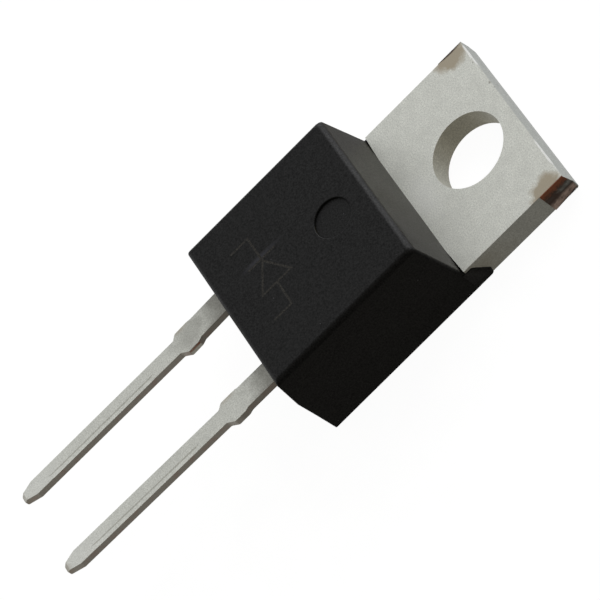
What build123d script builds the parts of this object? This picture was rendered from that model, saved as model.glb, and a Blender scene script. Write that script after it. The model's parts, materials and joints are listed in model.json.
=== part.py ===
from build123d import *
import os

# Two-lead power rectifier diode in the TO-220AC outline.
#
# All sizes are in millimetres. The origin is the centre of the mounting hole on the back (heat-sink) face.
# +Z points out of the front of the package, +Y towards the free end of the screw tab, and the leads run
# towards -Y. The back of the tab and of the moulding lie in the plane Z = 0.

# Screw tab
tab_width = 10.12
tab_thickness = 1.33
hole_diameter = 3.81
hole_to_tab_end = 2.78
hole_to_body = 3.57
tab_front_roll = 0.05
tab_back_roll = 0.15
hole_edge_roll = 0.05

# Sheared ends of the frame bars that held the tab at its two outer corners
tie_bar_width = 1.5
tie_bar_proud = 0.05

# Die pad: the narrower part of the copper plate inside the moulding. The full width of the tab stops a
# little short of the moulding, and the moulding fills that gap.
pad_width = 6.86
pad_to_lead_end = 3.23
shoulder_gap = 0.09
pad_lip = 0.4
pad_lip_thickness = 0.6
pad_lip_setback = 0.7
lock_groove_width = 0.5
lock_groove_depth = 0.2

# Moulding. Its back stands out past the sides of the tab, and its sides draw in from there to the front of
# the tab and on to the front face.
body_length = 9.29
body_height = 4.59
back_overhang = 0.1
tab_front_inset = 0.03
side_draft = 0.17
tab_end_draft = 0.42
lead_end_front_draft = 0.2
lead_end_back_draft = 0.13
body_edge_radius = 0.27
body_corner_radius = 0.14
ejector_mark_diameter = 2.0
ejector_mark_depth = 0.16
ejector_mark_offset = 0.13
ejector_mark_from_body_end = 2.54

# Ears of the moulding that fill a notch in each side of the tab
ear_depth = 0.3
ear_front_proud = 0.02
ear_root = 0.3
ear_back_reach = 0.95
ear_middle_reach = 1.04
ear_middle_height = 0.3
ear_front_reach = 0.53
ear_front_setback = 0.16
ear_end_chamfer = 0.09

# Leads
lead_pitch = 5.08
lead_thickness = 0.38
lead_height = 2.62
lead_length = 13.3
lead_wide = 1.29
lead_narrow = 0.89
lead_tip_width = 0.38
lead_tip_taper = 0.8
lead_tip_chamfer_length = 0.2
lead_tip_chamfer_depth = 0.14
lead_embed = 0.6

# Sheared dam bar: each lead has a stub on both sides, and steps down past it to its narrow part
dam_start = 1.83
dam_step = 0.25
left_dam_end = 2.86
right_dam_end = 2.73
shoulder_end = 3.1
shoulder_radius = 0.05
cathode_stubs = (0.04, 0.11)
anode_stubs = (0.12, 0.085)

# Small sideways bends of the leads away from their nominal line, at the moulding, the shoulder and the tip
cathode_bend = (-0.045, 0.05, -0.04)
anode_bend = (0.035, 0.02, -0.175)

# Cathode lead inside the moulding
ramp_flat = 1.2
ramp_run = 1.3
ramp_radius = 0.45
ramp_overlap = 0.35

# Bond post of the anode lead
post_width = 3.0
post_length = 1.5
post_inward_shift = 0.69
post_corner_radius = 0.2
post_hole_diameter = 0.8
post_hole_setback = 0.6

# Chip, its solder and the bond wires
die_size = 4.2
die_thickness = 0.25
solder_thickness = 0.05
solder_margin = 0.1
wire_diameter = 0.38
wire_squash = 0.06
wire_pitch = 0.5
wire_inward_shift = 0.55
wire_foot = 0.6
wire_bond_shift = 0.37
wire_loop_rise = 0.67
wire_rise_run = 0.8
wire_fall_run = 1.15
wire_bend_radius = 0.4

# Planes and places worked out from the sizes above
hole_radius = hole_diameter / 2
body_end = -hole_to_body
lead_end = body_end - body_length
pad_end = lead_end + pad_to_lead_end
pad_length = body_end - pad_end
shoulder_end_of_tab = body_end + shoulder_gap
tab_half = tab_width / 2
body_back_half = tab_half + back_overhang
body_tab_half = tab_half - tab_front_inset
body_front_half = body_tab_half - side_draft
body_middle = (body_end + lead_end) / 2
parting_height = lead_height
lead_front = lead_height + lead_thickness
lead_middle = lead_height + lead_thickness / 2
pad_centre = (body_end + pad_end) / 2
die_base = tab_thickness + solder_thickness
die_top = die_base + die_thickness
post_centre_x = lead_pitch / 2 - post_inward_shift
post_centre_y = lead_end + lead_embed + post_length / 2
post_hole_x = post_centre_x + post_width / 2 - post_hole_setback
wire_radius = wire_diameter / 2
wire_centre_x = post_centre_x - wire_inward_shift
wire_loop_height = lead_front + wire_loop_rise


def lead_sketch(nominal_x, bend, stubs):
    """Outline of a lead in its own plane, from its root inside the moulding to its tip.

    The bend holds the sideways shifts of its middle, and the stubs say how far the sheared dam bar stands
    out on the left (-X) and on the right.
    """
    root, knee, tip = (nominal_x + shift for shift in bend)

    def centre(distance):
        if distance <= 0:
            return root
        if distance <= shoulder_end:
            return root + (knee - root) * distance / shoulder_end
        return knee + (tip - knee) * (distance - shoulder_end) / (lead_length - shoulder_end)

    def side_points(side, stub, dam_end):
        corners = (
            (-lead_embed, lead_wide / 2),
            (0, lead_wide / 2),
            (dam_start, lead_wide / 2),
            (dam_start + dam_step, lead_wide / 2 + stub),
            (dam_end, lead_wide / 2 + stub),
            (shoulder_end, lead_narrow / 2),
            (lead_length - lead_tip_taper, lead_narrow / 2),
            (lead_length, lead_tip_width / 2),
        )
        return [(centre(distance) + side * half, lead_end - distance) for distance, half in corners]

    left_points = side_points(-1, stubs[0], left_dam_end)
    right_points = side_points(1, stubs[1], right_dam_end)
    with BuildSketch(Plane.XY.offset(lead_height)) as outline:
        with BuildLine():
            Polyline(*left_points, *right_points[::-1], close=True)
        make_face()
        stub_corners = outline.vertices().filter_by_position(
            Axis.Y, lead_end - shoulder_end - shoulder_radius, lead_end - dam_start - dam_step / 2
        )
        fillet(stub_corners, radius=shoulder_radius)
    return outline.sketch


# Wedge that is cut from the front edge of each lead's tip.
with BuildSketch(Plane.YZ) as tip_chamfer:
    with BuildLine() as tip_chamfer_line:
        Polyline(
            (lead_end - lead_length, lead_front),
            (lead_end - lead_length + lead_tip_chamfer_length, lead_front),
            (lead_end - lead_length, lead_front - lead_tip_chamfer_depth),
            close=True,
        )
    make_face()

# Ears: wedges of moulding compound that sit in the notches of the tab. They are cut from the tab and
# added to the moulding, so both share one shape. Their outer sides carry on the sides of the moulding.
with BuildPart() as ears:
    for side in (1, -1):
        notch_plane = Plane.YZ.offset(side * (tab_half - ear_depth))
        with BuildSketch(notch_plane) as ear_profile:
            with BuildLine() as ear_line:
                Polyline(
                    (body_end - ear_root, 0),
                    (body_end + ear_back_reach, 0),
                    (body_end + ear_middle_reach, ear_middle_height),
                    (body_end + ear_front_reach, tab_thickness - ear_front_setback),
                    (body_end - ear_root, tab_thickness - ear_front_setback),
                    close=True,
                )
            make_face()
        extrude(amount=side * (ear_depth + back_overhang))
    with BuildSketch(Plane.XZ.offset(-body_end)) as ear_section:
        with BuildLine() as ear_section_line:
            Polyline(
                (body_back_half, 0),
                (tab_half + ear_front_proud, tab_thickness),
                (-tab_half - ear_front_proud, tab_thickness),
                (-body_back_half, 0),
                close=True,
            )
        make_face()
    extrude(amount=body_length, both=True, mode=Mode.INTERSECT)
    far_corners = ears.edges().filter_by(
        lambda e: abs(e.center().X) > tab_half and e.bounding_box().min.Y > body_end + ear_front_reach / 2
    )
    chamfer(far_corners, length=ear_end_chamfer)

# Cathode tab: screw tab, die pad and cathode lead, stamped and bent from one copper strip.
with BuildPart() as cathode_tab:
    with BuildSketch() as plate_outline:
        with Locations((0, (hole_to_tab_end + shoulder_end_of_tab) / 2)):
            Rectangle(tab_width, hole_to_tab_end - shoulder_end_of_tab)
        with Locations((0, hole_to_tab_end - tie_bar_width / 2)):
            Rectangle(tab_width + 2 * tie_bar_proud, tie_bar_width)
        with Locations((0, (shoulder_end_of_tab + pad_end) / 2)):
            Rectangle(pad_width, shoulder_end_of_tab - pad_end)
    extrude(amount=tab_thickness)
    with BuildSketch(Plane.XY.offset(tab_thickness - pad_lip_thickness)) as lip_outline:
        with Locations((0, (body_end - pad_lip_setback + pad_end) / 2)):
            Rectangle(pad_width + 2 * pad_lip, pad_length - pad_lip_setback)
    extrude(amount=pad_lip_thickness)
    for height, roll in ((tab_thickness, tab_front_roll), (0, tab_back_roll)):
        end_edges = cathode_tab.edges().filter_by(Axis.X).filter_by_position(Axis.Z, height, height)
        fillet(end_edges.sort_by(Axis.Y)[-1], radius=roll)
    with BuildSketch(Plane.YZ.offset(-tab_half)) as lock_groove:
        with BuildLine() as lock_groove_line:
            Polyline(
                (body_end, tab_thickness),
                (body_end - lock_groove_width / 2, tab_thickness - lock_groove_depth),
                (body_end - lock_groove_width, tab_thickness),
                close=True,
            )
        make_face()
    extrude(amount=tab_width, mode=Mode.SUBTRACT)
    with Locations((0, 0, tab_thickness)):
        Hole(radius=hole_radius)
    hole_rims = cathode_tab.edges().filter_by(GeomType.CIRCLE).filter_by(lambda e: e.radius == hole_radius)
    fillet(hole_rims.sort_by(Axis.Z)[-1], radius=hole_edge_roll)
    add(ears.part, mode=Mode.SUBTRACT)

    # The lead: the strip rises from the front of the pad to the lead plane, then runs out of the moulding.
    with BuildLine(Plane.YZ.offset(-lead_pitch / 2 + cathode_bend[0])) as ramp_path:
        FilletPolyline(
            (lead_end, lead_middle),
            (lead_end + ramp_flat, lead_middle),
            (lead_end + ramp_flat + ramp_run, tab_thickness - lead_thickness / 2),
            (pad_end + ramp_overlap, tab_thickness - lead_thickness / 2),
            radius=ramp_radius,
        )
    with BuildSketch(Plane(origin=ramp_path.line @ 0, x_dir=(1, 0, 0), z_dir=ramp_path.line % 0)) as strip:
        Rectangle(lead_wide, lead_thickness)
    sweep(path=ramp_path.line)
    extrude(lead_sketch(-lead_pitch / 2, cathode_bend, cathode_stubs), amount=lead_thickness)
    extrude(tip_chamfer.sketch, amount=lead_pitch, both=True, mode=Mode.SUBTRACT)

# Anode lead: a flat stamping with a bond post inside the moulding.
with BuildPart() as anode_lead:
    extrude(lead_sketch(lead_pitch / 2, anode_bend, anode_stubs), amount=lead_thickness)
    with BuildSketch(Plane.XY.offset(lead_height)) as bond_post:
        with Locations((post_centre_x, post_centre_y)):
            RectangleRounded(post_width, post_length, post_corner_radius)
        with Locations((post_hole_x, post_centre_y)):
            Circle(post_hole_diameter / 2, mode=Mode.SUBTRACT)
    extrude(amount=lead_thickness)
    extrude(tip_chamfer.sketch, amount=lead_pitch, both=True, mode=Mode.SUBTRACT)

# Solder film and silicon chip on the die pad.
with BuildPart() as die_attach_solder:
    with BuildSketch(Plane.XY.offset(tab_thickness)) as solder_outline:
        with Locations((0, pad_centre)):
            Rectangle(die_size + 2 * solder_margin, die_size + 2 * solder_margin)
    extrude(amount=solder_thickness)

with BuildPart() as diode_die:
    with BuildSketch(Plane.XY.offset(die_base)) as die_outline:
        with Locations((0, pad_centre)):
            Rectangle(die_size, die_size)
    extrude(amount=die_thickness)

# Bond wires: each has a squashed foot on the chip and one on the bond post, with a loop between them.
wire_names = ("bond_wire_inner", "bond_wire_middle", "bond_wire_outer")
wires = []
for index, wire_name in enumerate(wire_names):
    wire_x = wire_centre_x + (index - 1) * wire_pitch
    die_seat = die_top + wire_radius - wire_squash
    post_seat = lead_front + wire_radius - wire_squash
    die_foot = pad_centre + wire_bond_shift
    with BuildPart() as bond_wire:
        with BuildLine(Plane.YZ.offset(wire_x)) as wire_path:
            FilletPolyline(
                (die_foot + wire_foot / 2, die_seat),
                (die_foot - wire_foot / 2, die_seat),
                (die_foot - wire_foot / 2 - wire_rise_run, wire_loop_height),
                (post_centre_y + wire_foot / 2 + wire_fall_run, wire_loop_height),
                (post_centre_y + wire_foot / 2, post_seat),
                (post_centre_y - wire_foot / 2, post_seat),
                radius=wire_bend_radius,
            )
        with BuildSketch(Plane(origin=wire_path.line @ 0, z_dir=wire_path.line % 0)) as wire_section:
            Circle(wire_radius)
        sweep(path=wire_path.line)
        add(diode_die.part, mode=Mode.SUBTRACT)
        add(anode_lead.part, mode=Mode.SUBTRACT)
    bond_wire.part.label = wire_name
    wires.append(bond_wire.part)

# Moulding: the drafted side profile and the drafted end profile cross to give the block, which then takes
# its round edges, the ejector mark, the fill behind the tab's shoulders, the ears and the pockets for all
# the pieces it holds.
with BuildPart() as moulded_body:
    with BuildSketch(Plane.YZ) as side_profile:
        with BuildLine() as side_line:
            Polyline(
                (body_end, 0),
                (body_end, tab_thickness),
                (body_end - tab_end_draft, body_height),
                (lead_end + lead_end_front_draft, body_height),
                (lead_end, parting_height),
                (lead_end + lead_end_back_draft, 0),
                close=True,
            )
        make_face()
    extrude(amount=tab_width, both=True)
    with BuildSketch(Plane.XZ.offset(-body_end)) as end_profile:
        with BuildLine() as end_line:
            Polyline(
                (body_back_half, 0),
                (body_tab_half, tab_thickness),
                (body_front_half, body_height),
                (-body_front_half, body_height),
                (-body_tab_half, tab_thickness),
                (-body_back_half, 0),
                close=True,
            )
        make_face()
    extrude(amount=2 * body_length, both=True, mode=Mode.INTERSECT)
    fillet(moulded_body.edges().filter_by_position(Axis.Z, body_height, body_height), radius=body_edge_radius)
    corner_edges = moulded_body.edges().filter_by(
        lambda e: e.bounding_box().size.Z > body_edge_radius / 2
        and (e.center().Y < body_middle or e.center().Z > tab_thickness)
    )
    fillet(corner_edges, radius=body_corner_radius)
    with Locations((ejector_mark_offset, body_end - ejector_mark_from_body_end, body_height)):
        Hole(radius=ejector_mark_diameter / 2, depth=ejector_mark_depth)
    with BuildSketch(Plane.XZ.offset(-shoulder_end_of_tab)) as shoulder_fill:
        with BuildLine() as shoulder_fill_line:
            Polyline(
                (body_back_half, 0),
                (body_tab_half, tab_thickness),
                (-body_tab_half, tab_thickness),
                (-body_back_half, 0),
                close=True,
            )
        make_face()
    extrude(amount=2 * shoulder_gap)
    add(ears.part)
    for held in (cathode_tab.part, anode_lead.part, die_attach_solder.part, diode_die.part, *wires):
        add(held, mode=Mode.SUBTRACT)

cathode_tab.part.label = "cathode_tab"
anode_lead.part.label = "anode_lead"
die_attach_solder.part.label = "die_attach_solder"
diode_die.part.label = "diode_die"
moulded_body.part.label = "moulded_body"

os.makedirs("parts", exist_ok=True)
export_step(cathode_tab.part, "parts/cathode_tab.step")
export_step(anode_lead.part, "parts/anode_lead.step")
export_step(die_attach_solder.part, "parts/die_attach_solder.step")
export_step(diode_die.part, "parts/diode_die.step")
for wire in wires:
    export_step(wire, f"parts/{wire.label}.step")
export_step(moulded_body.part, "parts/moulded_body.step")
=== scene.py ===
"""Looks of a two-lead power rectifier diode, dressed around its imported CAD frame.

Every length is in metres, in the frame of the CAD part. The origin is the centre of the mounting hole on the
back face, +Z points out of the front of the package, +Y to the free end of the screw tab, and the leads run
towards -Y. The moulding, the screw tab with its cathode lead and the anode lead are modelled here. The chip,
its solder and the bond wires inside the moulding keep their CAD solids and get finishes of their own.
"""

import json
import logging
import math
from contextlib import contextmanager
from dataclasses import dataclass
from enum import Enum
from typing import Callable, Iterator

import bmesh
import bpy
from mathutils import Matrix, Vector


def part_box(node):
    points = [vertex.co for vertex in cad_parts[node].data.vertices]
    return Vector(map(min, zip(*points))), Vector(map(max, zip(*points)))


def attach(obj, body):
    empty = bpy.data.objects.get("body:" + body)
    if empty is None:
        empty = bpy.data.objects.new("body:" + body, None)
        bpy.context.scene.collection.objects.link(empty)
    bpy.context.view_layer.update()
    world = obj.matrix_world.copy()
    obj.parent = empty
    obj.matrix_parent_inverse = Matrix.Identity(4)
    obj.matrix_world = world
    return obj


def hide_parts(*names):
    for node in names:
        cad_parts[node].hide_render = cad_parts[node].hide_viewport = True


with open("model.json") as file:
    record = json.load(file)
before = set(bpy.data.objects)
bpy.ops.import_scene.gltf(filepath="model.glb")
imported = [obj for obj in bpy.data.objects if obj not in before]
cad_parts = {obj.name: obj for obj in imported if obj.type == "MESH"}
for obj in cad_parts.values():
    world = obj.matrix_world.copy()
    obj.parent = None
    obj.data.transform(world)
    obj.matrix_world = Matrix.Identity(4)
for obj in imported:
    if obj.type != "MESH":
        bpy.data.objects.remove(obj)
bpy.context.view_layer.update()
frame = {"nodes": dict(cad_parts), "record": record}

LOG = logging.getLogger("rectifier_diode")
MM = 0.001
BODY_NAME = "root"

# Slack in comparing two places, in joining them, and in finding a round rim
NEAR = 0.000001
TOUCHING = NEAR / 10
RIM_SLACK = 0.01 * MM
# How much of the direction of a face or an edge lies along an axis
SQUARE = 0.95
ALONG = 0.9
MOSTLY = 0.5
PARTLY = 0.3
BARELY = 0.2
HARDLY = 0.1

Place = tuple[float, float, float]
Colour = tuple[float, float, float]
Range = tuple[float, float]
Test = Callable[[Vector, Vector], bool]
Socket = bpy.types.NodeSocket
Material = bpy.types.Material

# The parts of a noise's range that the finishes use
WIDE: Range = (0.3, 0.7)
MIDDLE: Range = (0.35, 0.65)


# ---------------------------------------------------------------------------------------------------------
# The bench: one mesh at a time, shaped with the modelling operators
# ---------------------------------------------------------------------------------------------------------


class Grip(Enum):
    """The kind of element that an edit-mode selection picks."""

    VERTICES = "VERT"
    EDGES = "EDGE"
    FACES = "FACE"


class Joinery(Enum):
    """What a boolean does with the second piece."""

    FUSE = "UNION"
    CUT = "DIFFERENCE"


def clear_bench() -> None:
    """Leaves edit mode and selects nothing."""
    if bpy.context.mode != "OBJECT":
        bpy.ops.object.mode_set(mode="OBJECT")
    bpy.ops.object.select_all(action="DESELECT")


class Workpiece:
    """One mesh on the bench."""

    def __init__(self, body: bpy.types.Object, name: str) -> None:
        """Takes an object as the piece.

        Args:
            body: The mesh object.
            name: The name of the object and its mesh.
        """
        self.body = body
        self.body.name = name
        self.body.data.name = name

    @classmethod
    def block(cls, name: str, low: Place, high: Place) -> "Workpiece":
        """Starts a piece as a block.

        Args:
            name: The piece's name.
            low: The block's lowest corner.
            high: The block's highest corner.

        Returns:
            The new piece.
        """
        clear_bench()
        middle = (Vector(low) + Vector(high)) / 2
        bpy.ops.mesh.primitive_cube_add(size=1, location=middle, scale=Vector(high) - Vector(low))
        bpy.ops.object.transform_apply(location=True, rotation=True, scale=True)
        return cls(bpy.context.active_object, name)

    @classmethod
    def rod(cls, name: str, low: Place, radius: float, height: float, sides: int) -> "Workpiece":
        """Starts a piece as a round rod that stands along Z.

        Args:
            name: The piece's name.
            low: The middle of the rod's lower end.
            radius: The rod's radius.
            height: The rod's length along Z.
            sides: The number of flats around it.

        Returns:
            The new piece.
        """
        clear_bench()
        middle = Vector(low) + Vector((0, 0, height / 2))
        bpy.ops.mesh.primitive_cylinder_add(vertices=sides, radius=radius, depth=height, location=middle)
        bpy.ops.object.transform_apply(location=True, rotation=True, scale=True)
        return cls(bpy.context.active_object, name)

    def pick_up(self) -> None:
        """Selects the piece alone and makes it the active object."""
        clear_bench()
        self.body.select_set(True)
        bpy.context.view_layer.objects.active = self.body

    def copy(self, name: str) -> "Workpiece":
        """Copies the piece, with a mesh of its own.

        Args:
            name: The copy's name.

        Returns:
            The copy.
        """
        self.pick_up()
        bpy.ops.object.duplicate(linked=False)
        return Workpiece(bpy.context.active_object, name)

    @contextmanager
    def opened(self) -> Iterator[None]:
        """Holds the piece open in edit mode with nothing selected.

        Yields:
            Nothing. The piece stays open until the block ends.
        """
        self.pick_up()
        bpy.ops.object.mode_set(mode="EDIT")
        bpy.ops.mesh.select_all(action="DESELECT")
        yield
        bpy.ops.object.mode_set(mode="OBJECT")

    def select(self, grip: Grip, test: Test) -> None:
        """Selects elements of the open piece by place and direction.

        Args:
            grip: The kind of element.
            test: Is given an element's middle and its direction, which is the normal of a vertex or a face
                and the run of an edge, and says whether the element is picked.
        """
        bpy.ops.mesh.select_mode(type=grip.value)
        shape = bmesh.from_edit_mesh(self.body.data)
        shape.normal_update()
        if grip is Grip.VERTICES:
            for vertex in shape.verts:
                vertex.select_set(test(vertex.co, vertex.normal))
        elif grip is Grip.EDGES:
            for edge in shape.edges:
                start, end = (vertex.co for vertex in edge.verts)
                edge.select_set(test((start + end) / 2, (end - start).normalized()))
        else:
            for face in shape.faces:
                face.select_set(test(face.calc_center_median(), face.normal))
        shape.select_flush_mode()
        bmesh.update_edit_mesh(self.body.data)

    def slice(self, point: Place, normal: Place, test: Test | None = None, drop: bool = False) -> None:
        """Cuts faces along a plane.

        Args:
            point: A point of the plane.
            normal: The plane's normal.
            test: Picks the faces that are cut, or None for all of them.
            drop: Removes what lies on the normal's side and closes the cut.
        """
        with self.opened():
            self.select(Grip.FACES, test or (lambda middle, facing: True))
            bpy.ops.mesh.bisect(
                plane_co=point, plane_no=normal, threshold=TOUCHING, use_fill=drop, clear_outer=drop
            )

    def slide(self, test: Test, shift: Place) -> None:
        """Moves vertices.

        Args:
            test: Picks the vertices by place and direction.
            shift: How far they move.
        """
        with self.opened():
            self.select(Grip.VERTICES, test)
            bpy.ops.transform.translate(value=shift)

    def extrude(self, test: Test, shift: Place) -> None:
        """Pulls out faces.

        Args:
            test: Picks the faces by place and direction.
            shift: How far they are pulled.
        """
        with self.opened():
            self.select(Grip.FACES, test)
            bpy.ops.mesh.extrude_region_move(TRANSFORM_OT_translate={"value": shift})

    def round_edges(self, test: Test, radius: float, segments: int = 3) -> None:
        """Rounds edges.

        Args:
            test: Picks the edges by place and direction.
            radius: The radius.
            segments: The number of facets.
        """
        with self.opened():
            self.select(Grip.EDGES, test)
            bpy.ops.mesh.bevel(
                offset=radius, segments=segments, profile=0.5, affect="EDGES", clamp_overlap=False
            )

    def combine(self, other: "Workpiece", joinery: Joinery) -> None:
        """Fuses or cuts the piece with another one.

        Args:
            other: The second piece, which is used up.
            joinery: What is done with it.
        """
        self.pick_up()
        bpy.ops.object.modifier_add(type="BOOLEAN")
        modifier = self.body.modifiers[-1]
        modifier.operation = joinery.value
        modifier.solver = "EXACT"
        modifier.object = other.body
        bpy.ops.object.modifier_apply(modifier=modifier.name)
        bpy.data.objects.remove(other.body)

    def soften(self, width: float, angle: float, segments: int = 2) -> None:
        """Breaks every sharp edge with a small bevel.

        Args:
            width: The bevel's width.
            angle: The least turn of an edge that is broken, in degrees.
            segments: The number of facets.
        """
        self.pick_up()
        bpy.ops.object.modifier_add(type="BEVEL")
        modifier = self.body.modifiers[-1]
        modifier.width = width
        modifier.segments = segments
        modifier.limit_method = "ANGLE"
        modifier.angle_limit = math.radians(angle)
        bpy.ops.object.modifier_apply(modifier=modifier.name)

    def dress(self, base: Material, *areas: tuple[Material, Test]) -> None:
        """Gives the piece its materials.

        Args:
            base: The material of the whole piece.
            areas: Further materials, each with the test that picks its faces.
        """
        self.body.data.materials.clear()
        for finish in (base, *(finish for finish, pick in areas)):
            self.body.data.materials.append(finish)
        with self.opened():
            bpy.ops.mesh.select_all(action="SELECT")
            self.body.active_material_index = 0
            bpy.ops.object.material_slot_assign()
            for index, (finish, pick) in enumerate(areas, start=1):
                self.select(Grip.FACES, pick)
                self.body.active_material_index = index
                bpy.ops.object.material_slot_assign()

    def shade(self, angle: float) -> None:
        """Shades the piece smooth.

        Args:
            angle: The turn, in degrees, past which an edge stays sharp.
        """
        self.pick_up()
        bpy.ops.object.shade_smooth_by_angle(angle=math.radians(angle))
        bpy.ops.object.modifier_add(type="WEIGHTED_NORMAL")
        modifier = self.body.modifiers[-1]
        modifier.keep_sharp = True
        bpy.ops.object.modifier_apply(modifier=modifier.name)

    def hand_over(self, slot: str, *nodes: str) -> None:
        """Puts the piece in the frame.

        Args:
            slot: The record's material slot for the piece. It is not used.
            nodes: The CAD nodes that the piece stands for.
        """
        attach(self.body, BODY_NAME)
        if nodes:
            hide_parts(*nodes)
        clear_bench()
        LOG.info("%s: %d faces", self.body.name, len(self.body.data.polygons))


# ---------------------------------------------------------------------------------------------------------
# Finishes
# ---------------------------------------------------------------------------------------------------------


class Recipe:
    """Builds one procedural material, node by node, on the coordinates of its piece."""

    # Places of the colour sockets on a mix node
    first_colour = 6
    second_colour = 7
    mixed_colour = 2

    def __init__(self, name: str) -> None:
        """Starts a material.

        Args:
            name: The material's name.
        """
        self.material = bpy.data.materials.new(name)
        self.material.use_nodes = True
        self.tree = self.material.node_tree
        self.shader = self.tree.nodes["Principled BSDF"]
        self.place = self.add("ShaderNodeTexCoord").outputs["Object"]

    def add(self, kind: str, **settings: object) -> bpy.types.Node:
        """Adds a node.

        Args:
            kind: The node's type.
            settings: Properties of the node and their values.

        Returns:
            The new node.
        """
        node = self.tree.nodes.new(kind)
        for key, value in settings.items():
            setattr(node, key, value)
        return node

    def feed(self, target: Socket, source: Socket) -> None:
        """Links a source to a target socket."""
        self.tree.links.new(source, target)

    def constant(self, **values: float | Colour) -> None:
        """Sets sockets of the shader to plain values.

        Args:
            values: The values, each named by its socket's label with underscores for spaces.
        """
        for key, value in values.items():
            target = self.shader.inputs[key.replace("_", " ")]
            target.default_value = (*value, 1.0) if isinstance(value, tuple) else value

    def noise(self, grain: float, detail: float = 2.0, roughness: float = 0.5) -> Socket:
        """Returns soft noise.

        Args:
            grain: The size of its largest features, in metres.
            detail: The number of finer octaves.
            roughness: How strong the finer octaves are.

        Returns:
            The noise, from 0 to 1.
        """
        node = self.add("ShaderNodeTexNoise")
        node.inputs["Scale"].default_value = 1 / grain
        node.inputs["Detail"].default_value = detail
        node.inputs["Roughness"].default_value = roughness
        self.feed(node.inputs["Vector"], self.place)
        return node.outputs["Fac"]

    def ramp(self, source: Socket, stops: list[tuple[float, Colour]]) -> Socket:
        """Turns a value into a colour.

        Args:
            source: The value.
            stops: The ramp's stops, each a position and a colour.

        Returns:
            The colour.
        """
        node = self.add("ShaderNodeValToRGB")
        elements = node.color_ramp.elements
        while len(elements) < len(stops):
            elements.new(0.5)
        for element, (position, colour) in zip(elements, stops):
            element.position = position
            element.color = (*colour, 1.0)
        self.feed(node.inputs["Fac"], source)
        return node.outputs["Color"]

    def two_tone(self, source: Socket, part: Range, dark: Colour, light: Colour) -> Socket:
        """Returns a colour that goes from dark to light over a part of a value's range."""
        return self.ramp(source, [(part[0], dark), (part[1], light)])

    def span(self, source: Socket, low: float, high: float, start: float, end: float) -> Socket:
        """Maps a value onto a new range, and holds it within that range.

        Args:
            source: The value.
            low: The value that becomes the start.
            high: The value that becomes the end.
            start: The start of the new range.
            end: The end of the new range.

        Returns:
            The mapped value.
        """
        node = self.add("ShaderNodeMapRange")
        node.inputs["From Min"].default_value = low
        node.inputs["From Max"].default_value = high
        node.inputs["To Min"].default_value = start
        node.inputs["To Max"].default_value = end
        self.feed(node.inputs["Value"], source)
        return node.outputs["Result"]

    def work(self, operation: str, first: Socket, second: Socket) -> Socket:
        """Does a math operation.

        Args:
            operation: The operation.
            first: The first value.
            second: The second value.

        Returns:
            The result.
        """
        node = self.add("ShaderNodeMath", operation=operation)
        self.feed(node.inputs[0], first)
        self.feed(node.inputs[1], second)
        return node.outputs["Value"]

    def mix(self, share: Socket, first: Socket, second: Colour) -> Socket:
        """Mixes two colours.

        Args:
            share: The share of the second colour.
            first: The first colour.
            second: The second colour, a plain one.

        Returns:
            The mixed colour.
        """
        node = self.add("ShaderNodeMix", data_type="RGBA")
        self.feed(node.inputs["Factor"], share)
        self.feed(node.inputs[self.first_colour], first)
        node.inputs[self.second_colour].default_value = (*second, 1.0)
        return node.outputs[self.mixed_colour]

    def nearness(self, middle: Place, reach: Place) -> Socket:
        """Returns 1 at a point, falling to 0 at the surface of an ellipsoid around it.

        Args:
            middle: The point.
            reach: The ellipsoid's half sizes along X, Y and Z.

        Returns:
            The nearness, from 0 to 1.
        """
        shift = self.add("ShaderNodeVectorMath", operation="SUBTRACT")
        self.feed(shift.inputs[0], self.place)
        shift.inputs[1].default_value = middle
        scale = self.add("ShaderNodeVectorMath", operation="DIVIDE")
        self.feed(scale.inputs[0], shift.outputs[0])
        scale.inputs[1].default_value = reach
        length = self.add("ShaderNodeVectorMath", operation="LENGTH")
        self.feed(length.inputs[0], scale.outputs[0])
        return self.span(length.outputs["Value"], 0.0, 1.0, 1.0, 0.0)

    def relief(self, height: Socket, depth: float, strength: float) -> None:
        """Gives the surface a relief.

        Args:
            height: The relief, from 0 to 1.
            depth: How deep it is, in metres.
            strength: How much of it shows.
        """
        node = self.add("ShaderNodeBump")
        node.inputs["Strength"].default_value = strength
        node.inputs["Distance"].default_value = depth
        self.feed(node.inputs["Height"], height)
        self.feed(self.shader.inputs["Normal"], node.outputs["Normal"])

    def colour(self, source: Socket) -> None:
        """Feeds the shader's base colour."""
        self.feed(self.shader.inputs["Base Color"], source)

    def gloss(self, source: Socket) -> None:
        """Feeds the shader's roughness."""
        self.feed(self.shader.inputs["Roughness"], source)


@dataclass(frozen=True)
class StainAndLightPatch:
    """A discoloured patch that fades out towards the surface of an ellipsoid. Some patches are real stains,
    and others are painted light and painted shade.
    """

    middle: Place
    reach: Place
    tone: Colour
    share: float
    ragged: float = 0.0
    fade: float = 0.6

    def paint_on(self, recipe: Recipe, broad: Socket, tone: Socket) -> Socket:
        """Lays the patch over a finish.

        Args:
            recipe: The material in the making.
            broad: The noise that makes the rim of the patch ragged.
            tone: The colour under the patch.

        Returns:
            The colour with the patch on it.
        """
        near = recipe.nearness(self.middle, self.reach)
        rough = recipe.work("ADD", near, recipe.span(broad, *WIDE, -self.ragged, 0.0))
        return recipe.mix(recipe.span(rough, 0.0, self.fade, 0.0, self.share), tone, self.tone)


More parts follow.
